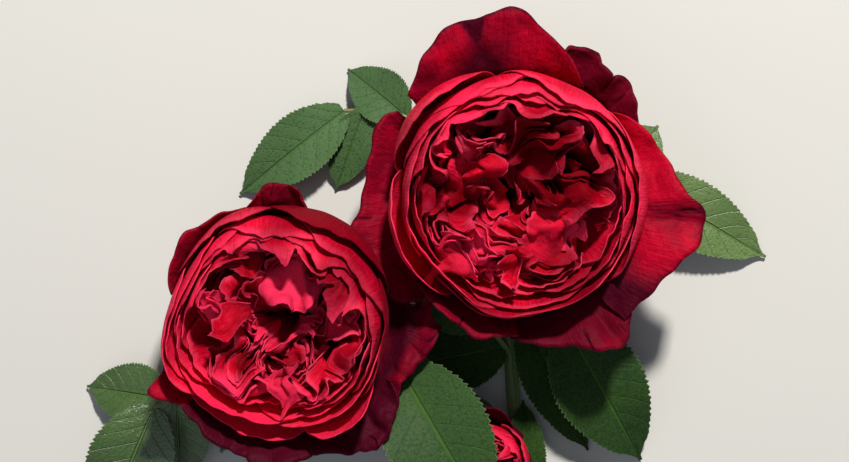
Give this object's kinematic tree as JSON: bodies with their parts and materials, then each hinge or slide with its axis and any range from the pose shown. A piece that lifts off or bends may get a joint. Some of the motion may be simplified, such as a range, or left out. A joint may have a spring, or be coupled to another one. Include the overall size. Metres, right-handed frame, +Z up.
{
  "type": "cut rose spray",
  "caption": "A cut spray of deep crimson garden roses, lying on its back: two large, full, cupped blooms, a smaller half-open one, hips with sepals, compound leaves and a forked green stem.",
  "frame": {"origin": "centre of the bounding box in X and Y, on the floor that the spray lies on", "axes": "+Z up, where the blooms face; +Y from the cut end of the stem towards the top bloom; +X to the right when looking down on the blooms"},
  "size_m": [0.2403, 0.2216, 0.0701],
  "materials": {
    "petal": "velvety crimson petal, paler along lit edges and dark towards the guard petals' margins",
    "leaf": "glossy dark green leaf with fine toothed margin and sunken veins",
    "calyx": "fresh green hip and sepals, smooth with a soft sheen",
    "stem": "young green rose stem, slightly ribbed, reddish on its upper side"
  },
  "bodies": {
    "root": {"main_stem": "stem", "side_stem_left": "stem", "side_stem_low": "stem", "bloom_right": "petal", "bloom_left": "petal", "bloom_low": "petal", "calyx_right": "calyx", "calyx_left": "calyx", "calyx_low": "calyx", "leaf_lower_left": "leaf", "leaf_lower_middle": "leaf", "leaf_lower_right": "leaf", "leaf_shaded": "leaf", "leaf_foot": "leaf", "leaf_upper_left": "leaf", "leaf_right": "leaf"}
  },
  "joints": []
}
